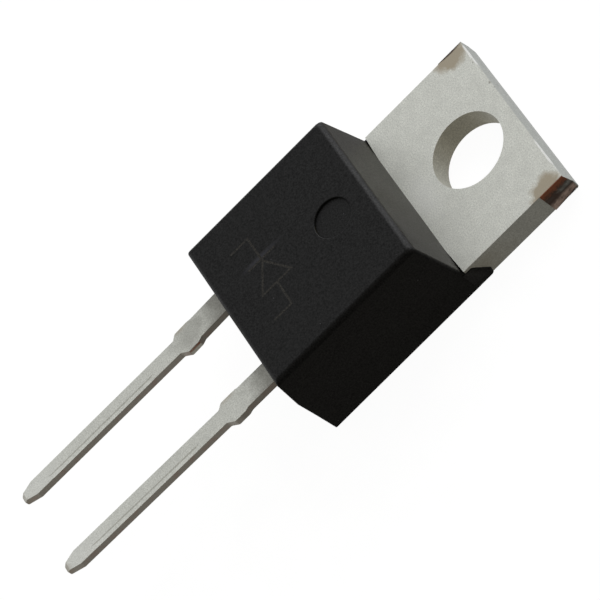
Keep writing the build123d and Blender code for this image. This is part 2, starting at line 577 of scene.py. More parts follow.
@dataclass(frozen=True)
class MouldingCompound:
    """Black filled epoxy with the fine grain of a spark-eroded mould."""

    name: str = "moulding_compound_finish"
    # Patches over the grain: a scuff on the front, and painted shade on the end wall
    scuffs_and_shade: tuple[StainAndLightPatch, ...] = ()
    dark: Colour = (0.0025, 0.0025, 0.0025)
    light: Colour = (0.007, 0.007, 0.007)
    tone_part: Range = (0.35, 0.68)
    fleck: Colour = (0.09, 0.09, 0.10)
    fleck_spacing: float = 0.9 * MM
    fleck_rim: Range = (0.022, 0.03)
    grain: float = 0.08 * MM
    cloud: float = 2.4 * MM
    roughness: Range = (0.47, 0.51)
    specular: Range = (0.11, 0.28)
    relief_depth: float = 0.004 * MM

    def make(self) -> Material:
        """Builds the material.

        Returns:
            The new material.
        """
        recipe = Recipe(self.name)
        fine = recipe.noise(self.grain, detail=3.0, roughness=0.6)
        broad = recipe.noise(self.cloud, detail=3.0)
        tone = recipe.two_tone(fine, self.tone_part, self.dark, self.light)
        for overlay in self.scuffs_and_shade:
            tone = overlay.paint_on(recipe, broad, tone)
        cells = recipe.add("ShaderNodeTexVoronoi", feature="F1")
        cells.inputs["Scale"].default_value = 1 / self.fleck_spacing
        recipe.feed(cells.inputs["Vector"], recipe.place)
        fleck = recipe.span(cells.outputs["Distance"], *self.fleck_rim, 1.0, 0.0)
        recipe.colour(recipe.mix(fleck, tone, self.fleck))
        recipe.gloss(recipe.span(broad, *MIDDLE, *self.roughness))
        recipe.relief(fine, self.relief_depth, strength=0.6)
        recipe.feed(recipe.shader.inputs["Specular IOR Level"], recipe.span(fine, *WIDE, *self.specular))
        return recipe.material


@dataclass(frozen=True)
class TinPlate:
    """Matt tin plating over copper, with fine crystals, faint clouds, stains, and patches of painted light
    and painted shade.
    """

    name: str
    stains_and_light: tuple[StainAndLightPatch, ...] = ()
    dark: Colour = (0.572, 0.577, 0.537)
    light: Colour = (0.878, 0.885, 0.825)
    tone_part: Range = (0.25, 0.75)
    crystal: float = 0.07 * MM
    cloud: float = 0.6 * MM
    cloud_part: Range = (0.4, 0.7)
    cloud_share: float = 0.36
    roughness: Range = (0.62, 0.52)
    relief_depth: float = 0.003 * MM

    def make(self) -> Material:
        """Builds the material.

        Returns:
            The new material.
        """
        recipe = Recipe(self.name)
        fine = recipe.noise(self.crystal, detail=2.0, roughness=0.6)
        broad = recipe.noise(self.cloud, detail=4.0, roughness=0.6)
        tone = recipe.two_tone(fine, self.tone_part, self.dark, self.light)
        tone = recipe.mix(recipe.span(broad, *self.cloud_part, 0.0, self.cloud_share), tone, self.dark)
        # Lays the stains and the painted light and shade
        for patch in self.stains_and_light:
            tone = patch.paint_on(recipe, broad, tone)
        recipe.colour(tone)
        recipe.gloss(recipe.span(fine, *WIDE, *self.roughness))
        recipe.relief(fine, self.relief_depth, strength=0.5)
        recipe.constant(Metallic=1.0)
        return recipe.material


@dataclass(frozen=True)
class ShearedLead:
    """The punched sides of a lead, where thin plating lets the copper tint through. Their tone is also kept
    darker than the fronts as painted shade, and painted shade is laid on them by the moulding.
    """

    stains_and_light: tuple[StainAndLightPatch, ...] = ()
    name: str = "sheared_lead_finish"
    tin: Colour = (0.56, 0.54, 0.505)
    copper: Colour = (0.56, 0.48, 0.44)
    tint_part: Range = (0.48, 0.66)
    dirt: Colour = (0.3, 0.29, 0.27)
    dirt_share: float = 0.3
    patch: float = 0.5 * MM
    streak: float = 0.05 * MM
    roughness: Range = (0.42, 0.56)
    relief_depth: float = 0.003 * MM

    def make(self) -> Material:
        """Builds the material.

        Returns:
            The new material.
        """
        recipe = Recipe(self.name)
        patch = recipe.noise(self.patch)
        fine = recipe.noise(self.streak)
        tint = recipe.two_tone(patch, self.tint_part, self.tin, self.copper)
        for paint_on in self.stains_and_light:
            tint = paint_on.paint_on(recipe, patch, tint)
        recipe.colour(recipe.mix(recipe.span(fine, *WIDE, 0.0, self.dirt_share), tint, self.dirt))
        recipe.gloss(recipe.span(fine, *WIDE, *self.roughness))
        recipe.relief(fine, self.relief_depth, strength=0.5)
        recipe.constant(Metallic=1.0)
        return recipe.material


@dataclass(frozen=True)
class BareCopper:
    """A sheared copper face: red-brown by the front edge, oxidised and smeared with tin towards the back."""

    name: str
    front: float
    thickness: float
    scorches: tuple[StainAndLightPatch, ...] = ()
    red_share: float = 0.25
    red_blur: float = 0.1
    red_ragged: float = 0.08
    red: Colour = (0.35, 0.125, 0.065)
    black: Colour = (0.07, 0.055, 0.045)
    grey: Colour = (0.32, 0.33, 0.32)
    pink: Colour = (0.5, 0.38, 0.33)
    bands: tuple[float, ...] = (0.25, 0.42, 0.55, 0.75)
    cloud: float = 0.45 * MM
    cloud_part: Range = (0.45, 0.65)
    cloud_share: float = 0.8
    grain: float = 0.12 * MM
    roughness: Range = (0.4, 0.6)
    relief_depth: float = 0.012 * MM
    metallic: float = 0.85

    def make(self) -> Material:
        """Builds the material.

        Returns:
            The new material.
        """
        recipe = Recipe(self.name)
        split = recipe.add("ShaderNodeSeparateXYZ")
        recipe.feed(split.inputs[0], recipe.place)
        broad = recipe.noise(self.cloud, detail=3.0, roughness=0.6)
        fine = recipe.noise(self.grain, detail=3.0, roughness=0.6)
        depth = recipe.span(split.outputs["Z"], self.front, self.front - self.thickness, 0.0, 1.0)
        ragged = recipe.work("ADD", depth, recipe.span(fine, *WIDE, -self.red_ragged, self.red_ragged))
        bands = list(zip(self.bands, (self.black, self.grey, self.black, self.pink)))
        body = recipe.mix(
            recipe.span(broad, *self.cloud_part, 0.0, self.cloud_share), recipe.ramp(depth, bands), self.black
        )
        for scorch in self.scorches:
            body = scorch.paint_on(recipe, broad, body)
        low, high = self.red_share - self.red_blur, self.red_share + self.red_blur
        strength = recipe.work(
            "MULTIPLY", recipe.span(ragged, low, high, 1.0, 0.0), recipe.span(broad, *MIDDLE, 1.0, 0.7)
        )
        recipe.colour(recipe.mix(strength, body, self.red))
        recipe.gloss(recipe.span(fine, *WIDE, *self.roughness))
        recipe.relief(fine, self.relief_depth, strength=0.6)
        recipe.constant(Metallic=self.metallic)
        return recipe.material


@dataclass(frozen=True)
class LaserMark:
    """Epoxy that a laser has bleached to a dull grey, in small overlapping dots."""

    name: str = "laser_mark_finish"
    faint: Colour = (0.012, 0.0115, 0.011)
    strong: Colour = (0.055, 0.052, 0.046)
    dot: float = 0.09 * MM
    roughness: float = 0.85
    specular: float = 0.2
    relief_depth: float = 0.004 * MM

    def make(self) -> Material:
        """Builds the material.

        Returns:
            The new material.
        """
        recipe = Recipe(self.name)
        dots = recipe.noise(self.dot, detail=2.0, roughness=0.7)
        recipe.colour(recipe.two_tone(dots, MIDDLE, self.faint, self.strong))
        recipe.relief(dots, self.relief_depth, strength=0.5)
        recipe.constant(Roughness=self.roughness, Specular_IOR_Level=self.specular)
        return recipe.material


@dataclass(frozen=True)
class InnerFinish:
    """A finish for a piece that is sealed in the moulding: two tones in a fine grain."""

    name: str
    dark: Colour
    light: Colour
    grain: float
    metallic: float
    roughness: Range

    def make(self) -> Material:
        """Builds the material.

        Returns:
            The new material.
        """
        recipe = Recipe(self.name)
        fine = recipe.noise(self.grain, detail=3.0)
        recipe.colour(recipe.two_tone(fine, MIDDLE, self.dark, self.light))
        recipe.gloss(recipe.span(fine, *WIDE, *self.roughness))
        recipe.constant(Metallic=self.metallic)
        return recipe.material


@dataclass(frozen=True)
class StudioFloor:
    """White board that glows a little, so that only a faint shadow shows on it."""

    name: str = "studio_floor_finish"
    tone: Colour = (0.06, 0.06, 0.06)
    lighter: Colour = (0.07, 0.07, 0.07)
    tone_part: Range = (0.4, 0.6)
    grain: float = 2.0 * MM
    roughness: float = 0.9
    glow_tone: Colour = (1.0, 1.0, 1.0)
    glow: float = 0.955

    def make(self) -> Material:
        """Builds the material.

        Returns:
            The new material.
        """
        recipe = Recipe(self.name)
        recipe.colour(recipe.two_tone(recipe.noise(self.grain), self.tone_part, self.tone, self.lighter))
        recipe.constant(
            Roughness=self.roughness, Emission_Color=self.glow_tone, Emission_Strength=self.glow
        )
        recipe.material.cycles.emission_sampling = "NONE"
        return recipe.material


# ---------------------------------------------------------------------------------------------------------
# Sizes that several pieces share
# ---------------------------------------------------------------------------------------------------------


@dataclass(frozen=True)
class Package:
    """The planes and sizes on which the pieces of the package meet."""

    hole_radius: float
    tab_end: float
    stub_half: float
    back_half: float
    lead_end: float
    front: float
    lead_back: float
    lead_front: float
    lead_tip: float
    body_end: float = -3.57 * MM
    tab_thickness: float = 1.33 * MM
    stub_proud: float = 0.05 * MM
    lead_pitch: float = 5.08 * MM
    pad_half: float = 3.43 * MM
    pad_to_lead_end: float = 3.23 * MM
    shoulder_gap: float = 0.09 * MM

    @classmethod
    def from_frame(cls) -> "Package":
        """Reads the package's planes off the CAD nodes.

        Returns:
            The package.
        """
        tab_low, tab_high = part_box("cathode_tab")
        body_low, body_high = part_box("moulded_body")
        lead_low, lead_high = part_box("anode_lead")
        bores = [mount for mount in frame["record"]["mounts"] if mount["kind"] == "bore"]
        return cls(
            hole_radius=bores[0]["dims"]["r_mm"] * MM,
            tab_end=tab_high.y,
            stub_half=tab_high.x,
            back_half=body_high.x,
            lead_end=body_low.y,
            front=body_high.z,
            lead_back=lead_low.z,
            lead_front=lead_high.z,
            lead_tip=lead_low.y,
        )

    @property
    def tab_half(self) -> float:
        """Half the width of the screw tab."""
        return self.stub_half - self.stub_proud

    @property
    def pad_end(self) -> float:
        """Where the die pad ends inside the moulding."""
        return self.lead_end + self.pad_to_lead_end

    @property
    def shoulder(self) -> float:
        """Where the full width of the tab ends, just outside the moulding's end face."""
        return self.body_end + self.shoulder_gap

    @property
    def lead_length(self) -> float:
        """Length of a lead outside the moulding."""
        return self.lead_end - self.lead_tip


# ---------------------------------------------------------------------------------------------------------
# Ageing, and the set of finishes
# ---------------------------------------------------------------------------------------------------------


@dataclass(frozen=True)
class Ageing:
    """Where the plating and the epoxy are stained, scorched and scuffed, and where light and shade are
    painted on them.
    """

    package: Package
    far: float = 1.0
    brown: Colour = (0.44, 0.39, 0.305)
    # Dark tone of the painted shade by the moulding and in small nicks, and of the darker patch round the
    # cathode's stubs
    dark_tone: Colour = (0.12, 0.11, 0.085)
    # Light tone of the painted light on the lead ends, of the painted glints on the tab's end and of the
    # painted light by the moulding
    bright: Colour = (0.95, 0.95, 0.93)
    rim_brown: Colour = (0.1, 0.075, 0.062)
    film_brown: Colour = (0.32, 0.28, 0.2)
    scorch_brown: Colour = (0.08, 0.05, 0.04)
    scuff_grey: Colour = (0.034, 0.034, 0.042)
    wall_black: Colour = (0.004, 0.0018, 0.0)

    def painted_root_shade(self, reach: float, share: float, ragged: float = 0.0, fade: float = 0.6) -> StainAndLightPatch:
        """Returns painted shade on both leads, darkest at the moulding and fading out at a distance from it.
        """
        middle = (0.0, self.package.lead_end, 0.0)
        return StainAndLightPatch(middle, (self.far, reach, self.far), self.dark_tone, share, ragged, fade)

    def tips(self) -> StainAndLightPatch:
        """Returns the brown patch on the tips of both leads."""
        middle = (0.0, self.package.lead_tip, self.package.lead_front)
        return StainAndLightPatch(middle, (self.far, 0.5 * MM, self.far), self.brown, share=0.5, ragged=0.5)

    def leads(self) -> tuple[StainAndLightPatch, ...]:
        """Lists the painted shade by the moulding, the faint painted shade along the length, the painted
        light towards the tips and the brown tips of both leads.

        Returns:
            The patches, in the order in which they are laid.
        """
        # Painted light that grows towards the tips
        painted_end_light = StainAndLightPatch(
            middle=(0.0, self.package.lead_tip, 0.0), reach=(self.far, 4.0 * MM, self.far),
            tone=self.bright, share=0.2, ragged=0.2,
        )
        return (self.painted_root_shade(2.0 * MM, 0.52, 0.3), self.painted_root_shade(12.0 * MM, 0.06), painted_end_light, self.tips())

    def lead_stubs(self) -> tuple[StainAndLightPatch, ...]:
        """Lists the brown patches on the left dam-bar stub of each lead.

        Returns:
            The patches.
        """
        return tuple(
            StainAndLightPatch(
                middle=(x * MM, self.package.lead_end - 2.5 * MM, self.package.lead_front),
                reach=(0.4 * MM, 0.7 * MM, 0.5 * MM), tone=self.brown, share=0.5, ragged=0.3,
            )
            for x in (-3.25, 1.8)
        )

    def tab_corners(self) -> tuple[StainAndLightPatch, ...]:
        """Lists the brown stains by both frame bars and a dark line along the front edge of the left one.

        Returns:
            The patches, in the order in which they are laid.
        """
        pack = self.package
        return (
            StainAndLightPatch(
                middle=(-pack.tab_half, 1.9 * MM, pack.tab_thickness),
                reach=(1.35 * MM, 1.25 * MM, 0.5 * MM), tone=self.brown, share=1.0, ragged=0.3, fade=0.3,
            ),
            StainAndLightPatch(
                middle=(pack.tab_half, 1.75 * MM, pack.tab_thickness),
                reach=(1.25 * MM, 1.25 * MM, 0.5 * MM), tone=self.brown, share=1.0, ragged=0.35, fade=0.3,
            ),
            StainAndLightPatch(
                middle=(-pack.stub_half, 2.03 * MM, pack.tab_thickness),
                reach=(0.17 * MM, 0.8 * MM, 0.2 * MM), tone=self.rim_brown, share=0.95, ragged=0.1,
                fade=0.2,
            ),
        )

    def cathode_root(self) -> StainAndLightPatch:
        """Returns a darker patch round the dam-bar stubs of the cathode lead."""
        pack = self.package
        return StainAndLightPatch(
            middle=(-pack.lead_pitch / 2, pack.lead_end - 2.2 * MM, pack.lead_front),
            reach=(1.2 * MM, 1.6 * MM, 1.0 * MM), tone=self.dark_tone, share=0.28, ragged=0.2,
        )

    def tab_end(self) -> tuple[StainAndLightPatch, ...]:
        """Lists the painted shade of small nicks and the painted glints along the front edge of the tab's
        free end.

        Returns:
            The patches, in the order in which they are laid.
        """
        top = self.package.tab_thickness
        # Painted shade of small nicks
        painted_nick_shade = tuple(
            StainAndLightPatch(
                middle=(x * MM, y * MM, top), reach=(reach * MM, 0.7 * reach * MM, 0.3 * MM),
                tone=self.dark_tone, share=0.6, ragged=0.5,
            )
            for x, y, reach in ((-2.0, 2.66, 0.16), (-1.6, 2.7, 0.1), (-3.6, 2.6, 0.1))
        )
        # Painted glints along the edge
        painted_edge_glints = tuple(
            StainAndLightPatch(
                middle=(x * MM, y * MM, top), reach=(reach * MM, 0.12 * MM, 0.14 * MM), tone=self.bright,
                share=0.9, ragged=0.6, fade=0.3,
            )
            for x, y, reach in ((-4.0, 2.73, 1.6), (3.6, 2.68, 2.0))
        )
        return (*painted_nick_shade, *painted_edge_glints)

    def painted_light_by_moulding(self) -> StainAndLightPatch:
        """Returns painted light on the front of the tab, close to the moulding."""
        return StainAndLightPatch(
            middle=(0.2 * MM, -2.9 * MM, self.package.tab_thickness),
            reach=(1.9 * MM, 1.1 * MM, 0.1 * MM), tone=self.bright, share=0.22, ragged=0.2,
        )

    def side_film(self) -> StainAndLightPatch:
        """Returns the brown film on the right side of the tab."""
        return StainAndLightPatch(
            middle=(self.package.tab_half, self.package.body_end, 0.6 * MM),
            reach=(0.06 * MM, 3.4 * MM, 1.5 * MM), tone=self.film_brown, share=0.5, ragged=0.3, fade=0.9,
        )

    def scorch(self) -> StainAndLightPatch:
        """Returns the scorched corner of the right frame bar's sheared end."""
        return StainAndLightPatch(
            middle=(self.package.tab_half, 1.5 * MM, 0.7 * MM), reach=(0.4 * MM, 0.8 * MM, 0.45 * MM),
            tone=self.scorch_brown, share=0.9, ragged=0.3, fade=0.4,
        )

    def scuff(self) -> StainAndLightPatch:
        """Returns the faint scuff on the front of the moulding."""
        return StainAndLightPatch(
            middle=(-1.28 * MM, -9.9 * MM, self.package.front), reach=(0.24 * MM, 1.6 * MM, 0.1 * MM),
            tone=self.scuff_grey, share=0.8, ragged=0.25, fade=0.7,
        )

    def wall_shade(self) -> StainAndLightPatch:
        """Returns the darker right part of the wall that rises from the tab."""
        return StainAndLightPatch(
            middle=(self.package.tab_half, self.package.body_end, 0.0),
            reach=(4.5 * MM, self.far, self.far), tone=self.wall_black, share=1.0, fade=0.8,
        )


class FinishSet:
    """The materials of the pieces that show, each made once."""

    def __init__(self, package: Package) -> None:
        """Makes the materials.

        Args:
            package: The sizes that place the stains and the wear.
        """
        ageing = Ageing(package)
        thickness = package.tab_thickness
        pale = (0.75, 0.75, 0.7)
        tab_marks = (
            ageing.painted_light_by_moulding(),
            *ageing.leads(),
            *ageing.tab_corners(),
            ageing.cathode_root(),
            *ageing.lead_stubs(),
            *ageing.tab_end(),
        )
        self.tab_tin = TinPlate("tab_tin_finish", tab_marks).make()
        self.lead_tin = TinPlate("lead_tin_finish", (*ageing.leads(), *ageing.lead_stubs())).make()
        # A darker copy of the tin for the tab's sides and free end: painted shade
        self.shaded_edge_tin = TinPlate(
            "edge_tin_finish",
            (ageing.side_film(), *ageing.tab_end()),
            dark=(0.43, 0.44, 0.42),
            light=(0.64, 0.655, 0.625),
        ).make()
        # Painted shade on the leads' punched sides, darkest at the moulding
        side_root_shade = ageing.painted_root_shade(3.0 * MM, 0.35, 0.15, 0.12)
        self.sheared_lead = ShearedLead((side_root_shade, ageing.tips())).make()
        # A darker, warmer copy of the tin for the wall of the mounting hole: painted shade
        self.shaded_hole_tin = TinPlate("hole_tin_finish", dark=(0.44, 0.43, 0.37), light=(0.71, 0.7, 0.61)).make()
        self.right_copper = BareCopper(
            "tab_copper_finish", thickness, thickness, (ageing.scorch(),), red_share=0.22
        ).make()
        self.left_copper = BareCopper(
            "dull_copper_finish", thickness, thickness, red=(0.08, 0.062, 0.052)
        ).make()
        self.lead_copper = BareCopper(
            "lead_copper_finish",
            package.lead_front,
            package.lead_front - package.lead_back,
            red_share=0.4,
            grey=pale,
            pink=pale,
            black=pale,
        ).make()
        # A warmer, lighter copy of the compound for the wall that rises from the tab: painted warm
        # reflection, with painted shade on its right part
        self.end_wall_painted_reflection = MouldingCompound(
            "end_wall_finish", (ageing.wall_shade(),), dark=(0.006, 0.0042, 0.0), light=(0.012, 0.0085, 0.001)
        ).make()
        self.epoxy = MouldingCompound(scuffs_and_shade=(ageing.scuff(),)).make()
        self.laser_mark = LaserMark().make()


# ---------------------------------------------------------------------------------------------------------
# Leads
# ---------------------------------------------------------------------------------------------------------


class Side(Enum):
    """A side of the package, as the sign of X."""

    LEFT = -1
    RIGHT = 1


@dataclass(frozen=True)
class Lead:
    """A flat stamped lead with the sheared stubs of its dam bar, a coined strip and a tapered tip."""

    name: str
    package: Package
    nominal_x: float
    bend: tuple[float, float, float]
    stubs: dict[Side, float]
    bare_side: Side
    rolled: bool = False
    wide: float = 1.29 * MM
    narrow: float = 0.89 * MM
    embed: float = 0.6 * MM
    post_joint: float = 0.0
    dam_start: float = 1.83 * MM
    dam_step: float = 0.25 * MM
    left_shoulder: float = 2.86 * MM
    right_shoulder: float = 2.73 * MM
    knee: float = 3.1 * MM
    corner: float = 0.05 * MM
    tip_width: float = 0.38 * MM
    tip_taper: float = 0.8 * MM
    tip_round: float = 0.07 * MM
    tip_chamfer_length: float = 0.2 * MM
    tip_chamfer_depth: float = 0.14 * MM
    edge: float = 0.025 * MM
    sharp_angle: float = 50
    crease: float = 15
    roll_width: float = 0.3 * MM
    roll_depth: float = 0.09 * MM
    roll_skew: float = 0.8
    coin_width: float = 0.44 * MM
    coin_depth: float = 0.02 * MM
    coin_slope: float = 0.2 * MM
    coin_fade: float = 0.9 * MM
    coin_start: float = 4.1 * MM
    coin_stop: float = 12.3 * MM

    def centre(self, distance: float) -> float:
        """Finds the middle of the lead, which leans and bows a little.

        Args:
            distance: The distance from the moulding.

        Returns:
            The X of the lead's middle.
        """
        root, knee, tip = (self.nominal_x + shift for shift in self.bend)
        if distance <= 0:
            return root
        if distance <= self.knee:
            return root + (knee - root) * distance / self.knee
        share = (distance - self.knee) / (self.package.lead_length - self.knee)
        return knee + (tip - knee) * share

    def profile(self, side: Side) -> list[tuple[float, float]]:
        """Lists the corners of one side.

        Args:
            side: The side.

        Returns:
            The corners, each a distance from the moulding and a half width.
        """
        half, slim = self.wide / 2, self.narrow / 2
        stub = half + self.stubs[side]
        shoulder = self.left_shoulder if side is Side.LEFT else self.right_shoulder
        length = self.package.lead_length
        return [
            (-self.embed, half),
            (self.dam_start, half),
            (self.dam_start + self.dam_step, stub),
            (shoulder, stub),
            (self.knee, slim),
            (length - self.tip_taper, slim),
            (length, self.tip_width / 2),
        ]

    def half_width(self, side: Side, distance: float) -> float:
        """Finds the half width on one side.

        Args:
            side: The side.
            distance: The distance from the moulding.

        Returns:
            The half width.
        """
        corners = self.profile(side)
        for (start, first), (stop, last) in zip(corners, corners[1:]):
            if distance <= stop:
                return first + (last - first) * (distance - start) / (stop - start)
        return corners[-1][1]

    def strip(self) -> Workpiece:
        """Cuts the lead's outline at its corners from a plain strip.

        Returns:
            The strip.
        """
        pack = self.package
        low = (self.nominal_x - self.wide / 2, pack.lead_tip, pack.lead_back)
        high = (self.nominal_x + self.wide / 2, pack.lead_end + self.embed, pack.lead_front)
        piece = Workpiece.block(self.name, low, high)
        distances = sorted({0.0, *(distance for side in Side for distance, half in self.profile(side))})
        for distance in distances[1:-1]:
            piece.slice((0, pack.lead_end - distance, 0), (0, 1, 0))
        for distance in distances:
            row = pack.lead_end - distance
            for side in Side:
                target = self.centre(distance) + side.value * self.half_width(side, distance)
                start = self.nominal_x + side.value * self.wide / 2
                piece.slide(
                    lambda place, facing: abs(place.y - row) < NEAR
                    and (place.x - self.nominal_x) * side.value > 0,
                    (target - start, 0, 0),
                )
        return piece

    def round_stubs(self, piece: Workpiece) -> None:
        """Rounds the upright edges at the dam-bar stubs and at the shoulders.

        Args:
            piece: The lead's mesh.
        """
        start = self.package.lead_end - self.dam_start - self.dam_step / 2
        stop = self.package.lead_end - self.knee - self.corner
        piece.round_edges(
            lambda place, run: abs(run.z) > ALONG and stop < place.y < start, self.corner, segments=4
        )

    def cut_tip(self, piece: Workpiece) -> None:
        """Rounds the tip's upright edges and cuts the chamfer off its front edge.

        Args:
            piece: The lead's mesh.
        """
        pack = self.package
        piece.round_edges(
            lambda place, run: abs(run.z) > ALONG and place.y < pack.lead_tip + NEAR, self.tip_round
        )
        facing = Vector((0, -self.tip_chamfer_depth, self.tip_chamfer_length)).normalized()
        piece.slice((0, pack.lead_tip + self.tip_chamfer_length, pack.lead_front), facing, drop=True)

    def roll_stub(self, piece: Workpiece) -> None:
        """Rolls the front of the left stub down to its sheared end.

        Args:
            piece: The lead's mesh.
        """
        pack = self.package
        middle = (self.dam_start + self.dam_step + self.left_shoulder) / 2
        outside = self.centre(middle) - self.half_width(Side.LEFT, middle)
        inside = outside + self.roll_width
        y_low, y_high = pack.lead_end - self.knee, pack.lead_end - self.dam_start
        tool = Workpiece.block(
            "roll_tool", (outside - self.edge, y_low, pack.lead_front), (inside, y_high, pack.front)
        )
        tool.slide(
            lambda place, facing: place.z < pack.front - NEAR and place.x < inside - NEAR,
            (0, 0, -self.roll_depth),
        )
        tool.slide(
            lambda place, facing: place.x > outside and place.y > pack.lead_end - middle,
            (-self.roll_width * self.roll_skew, 0, 0),
        )
        piece.combine(tool, Joinery.CUT)

    def coin(self, piece: Workpiece) -> None:
        """Presses the coined strip, which rises to the right edge of the narrow part.

        Args:
            piece: The lead's mesh.
        """
        pack = self.package
        middle = (self.coin_start + self.coin_stop) / 2
        edge_x = self.centre(middle) + self.narrow / 2
        y_low, y_high = pack.lead_end - self.coin_stop, pack.lead_end - self.coin_start
        tool = Workpiece.block(
            "coining_punch",
            (edge_x - self.coin_width, y_low, pack.lead_front - self.coin_depth),
            (edge_x + self.coin_width, y_high, pack.lead_front + 2 * self.coin_depth),
        )
        tool.slide(
            lambda place, facing: place.z < pack.lead_front and place.x < edge_x, (self.coin_slope, 0, 0)
        )
        for side in Side:
            tool.slide(
                lambda place, facing: place.z < pack.lead_front
                and (place.y - pack.lead_end + middle) * side.value > 0,
                (0, -side.value * self.coin_fade, 0),
            )
        lift = 2 * self.coin_depth
        tool.slide(lambda place, facing: place.z < pack.lead_front and place.x > edge_x, (0, 0, lift))
        slant = self.centre(self.coin_stop) - self.centre(middle)
        tool.slide(lambda place, facing: place.y < pack.lead_end - middle, (slant, 0, 0))
        tool.slide(lambda place, facing: place.y > pack.lead_end - middle, (-slant, 0, 0))
        piece.combine(tool, Joinery.CUT)

    def shape(self) -> Workpiece:
        """Builds the lead.

        Returns:
            The finished mesh.
        """
        piece = self.strip()
        self.round_stubs(piece)
        self.cut_tip(piece)
        if self.rolled:
            self.roll_stub(piece)
        piece.soften(self.edge, angle=self.sharp_angle)
        self.coin(piece)
        return piece

    def bare_face(self, place: Vector, facing: Vector) -> bool:
        """Says whether a face is the bare sheared end of the dam bar.

        Args:
            place: The face's middle.
            facing: The face's normal.

        Returns:
            True for such a face.
        """
        side = self.bare_side
        start = self.package.lead_end - self.dam_start - self.dam_step
        stop = self.package.lead_end - (self.left_shoulder if side is Side.LEFT else self.right_shoulder)
        reach = (place.x - self.nominal_x) * side.value
        return facing.x * side.value > SQUARE and stop < place.y < start and reach > self.wide / 2

    def side_face(self, place: Vector, facing: Vector) -> bool:
        """Says whether a face belongs to the lead's punched sides."""
        in_lead = abs(place.x - self.nominal_x) < self.wide and place.y < self.package.lead_end
        return in_lead and abs(facing.z) < MOSTLY

    def dress(self, piece: Workpiece, finishes: FinishSet) -> None:
        """Gives a lead that is a piece of its own its finishes, and shades it.

        Args:
            piece: The lead's mesh.
            finishes: The part's materials.
        """
        piece.dress(
            finishes.lead_tin,
            (finishes.sheared_lead, self.side_face),
            (finishes.lead_copper, self.bare_face),
        )
        piece.shade(self.crease)


# ---------------------------------------------------------------------------------------------------------
# Bond post, ears and screw tab
# ---------------------------------------------------------------------------------------------------------


@dataclass(frozen=True)
class BondPost:
    """The wide inner end of the anode lead, for the bond wires, with a hole that keys it in the epoxy."""

    package: Package
    lead: Lead
    width: float = 3.0 * MM
    length: float = 1.5 * MM
    shift: float = -0.69 * MM
    corner: float = 0.2 * MM
    hole_radius: float = 0.4 * MM
    hole_setback: float = 0.6 * MM
    hole_sides: int = 32
    sink: float = 0.002 * MM

    def shape(self) -> Workpiece:
        """Builds the post, a hair thinner than the lead, which reaches into it.

        Returns:
            The post.
        """
        pack = self.package
        middle = self.lead.nominal_x + self.shift
        near = pack.lead_end + self.lead.embed - self.lead.post_joint
        low = (middle - self.width / 2, near, pack.lead_back + self.sink)
        high = (middle + self.width / 2, near + self.length, pack.lead_front - self.sink)
        piece = Workpiece.block("bond_post", low, high)
        piece.round_edges(lambda place, run: abs(run.z) > ALONG, self.corner, segments=4)
        hole = (high[0] - self.hole_setback, near + self.length / 2, pack.lead_back - self.corner)
        drill = Workpiece.rod("drill", hole, self.hole_radius, 4 * self.corner, self.hole_sides)
        piece.combine(drill, Joinery.CUT)
        return piece


@dataclass(frozen=True)
class Ear:
    """A wedge of moulding compound that fills the notch in one side of the tab."""

    package: Package
    side: Side
    play: float = 0.0
    depth: float = 0.3 * MM
    front_proud: float = 0.02 * MM
    side_inset: float = 0.004 * MM
    root: float = 0.1 * MM
    back_reach: float = 0.95 * MM
    middle_reach: float = 1.04 * MM
    front_reach: float = 0.53 * MM
    middle_height: float = 0.3 * MM
    front_setback: float = 0.16 * MM
    end_chamfer: float = 0.13 * MM

    def shape(self) -> Workpiece:
        """Builds the wedge as a piece of its own.

        Returns:
            The wedge.
        """
        pack = self.package
        top = pack.tab_thickness - self.front_setback - self.play
        far = pack.body_end + self.middle_reach - self.play
        near = pack.body_end - self.root
        side = self.side.value
        outside = pack.back_half - self.side_inset
        x_low, x_high = sorted((side * (pack.tab_half - self.depth + self.play), side * outside))
        piece = Workpiece.block("ear", (x_low, near, 0), (x_high, far, top))
        piece.slice((0, 0, self.middle_height), (0, 0, 1))
        lean = (pack.back_half - pack.tab_half - self.front_proud) / pack.tab_thickness
        reaches = ((0.0, self.back_reach), (self.middle_height, self.middle_reach), (top, self.front_reach))
        for height, reach in reaches:
            piece.slide(
                lambda place, facing: abs(place.z - height) < NEAR and abs(place.y - far) < NEAR,
                (0, reach - self.middle_reach, 0),
            )
            piece.slide(
                lambda place, facing: abs(place.z - height) < NEAR and abs(place.x) > pack.tab_half,
                (-side * lean * height, 0, 0),
            )
        piece.round_edges(
            lambda place, run: abs(place.x) > pack.tab_half
            and place.y > pack.body_end
            and abs(run.y) < ALONG,
            self.end_chamfer,
            segments=2,
        )
        return piece


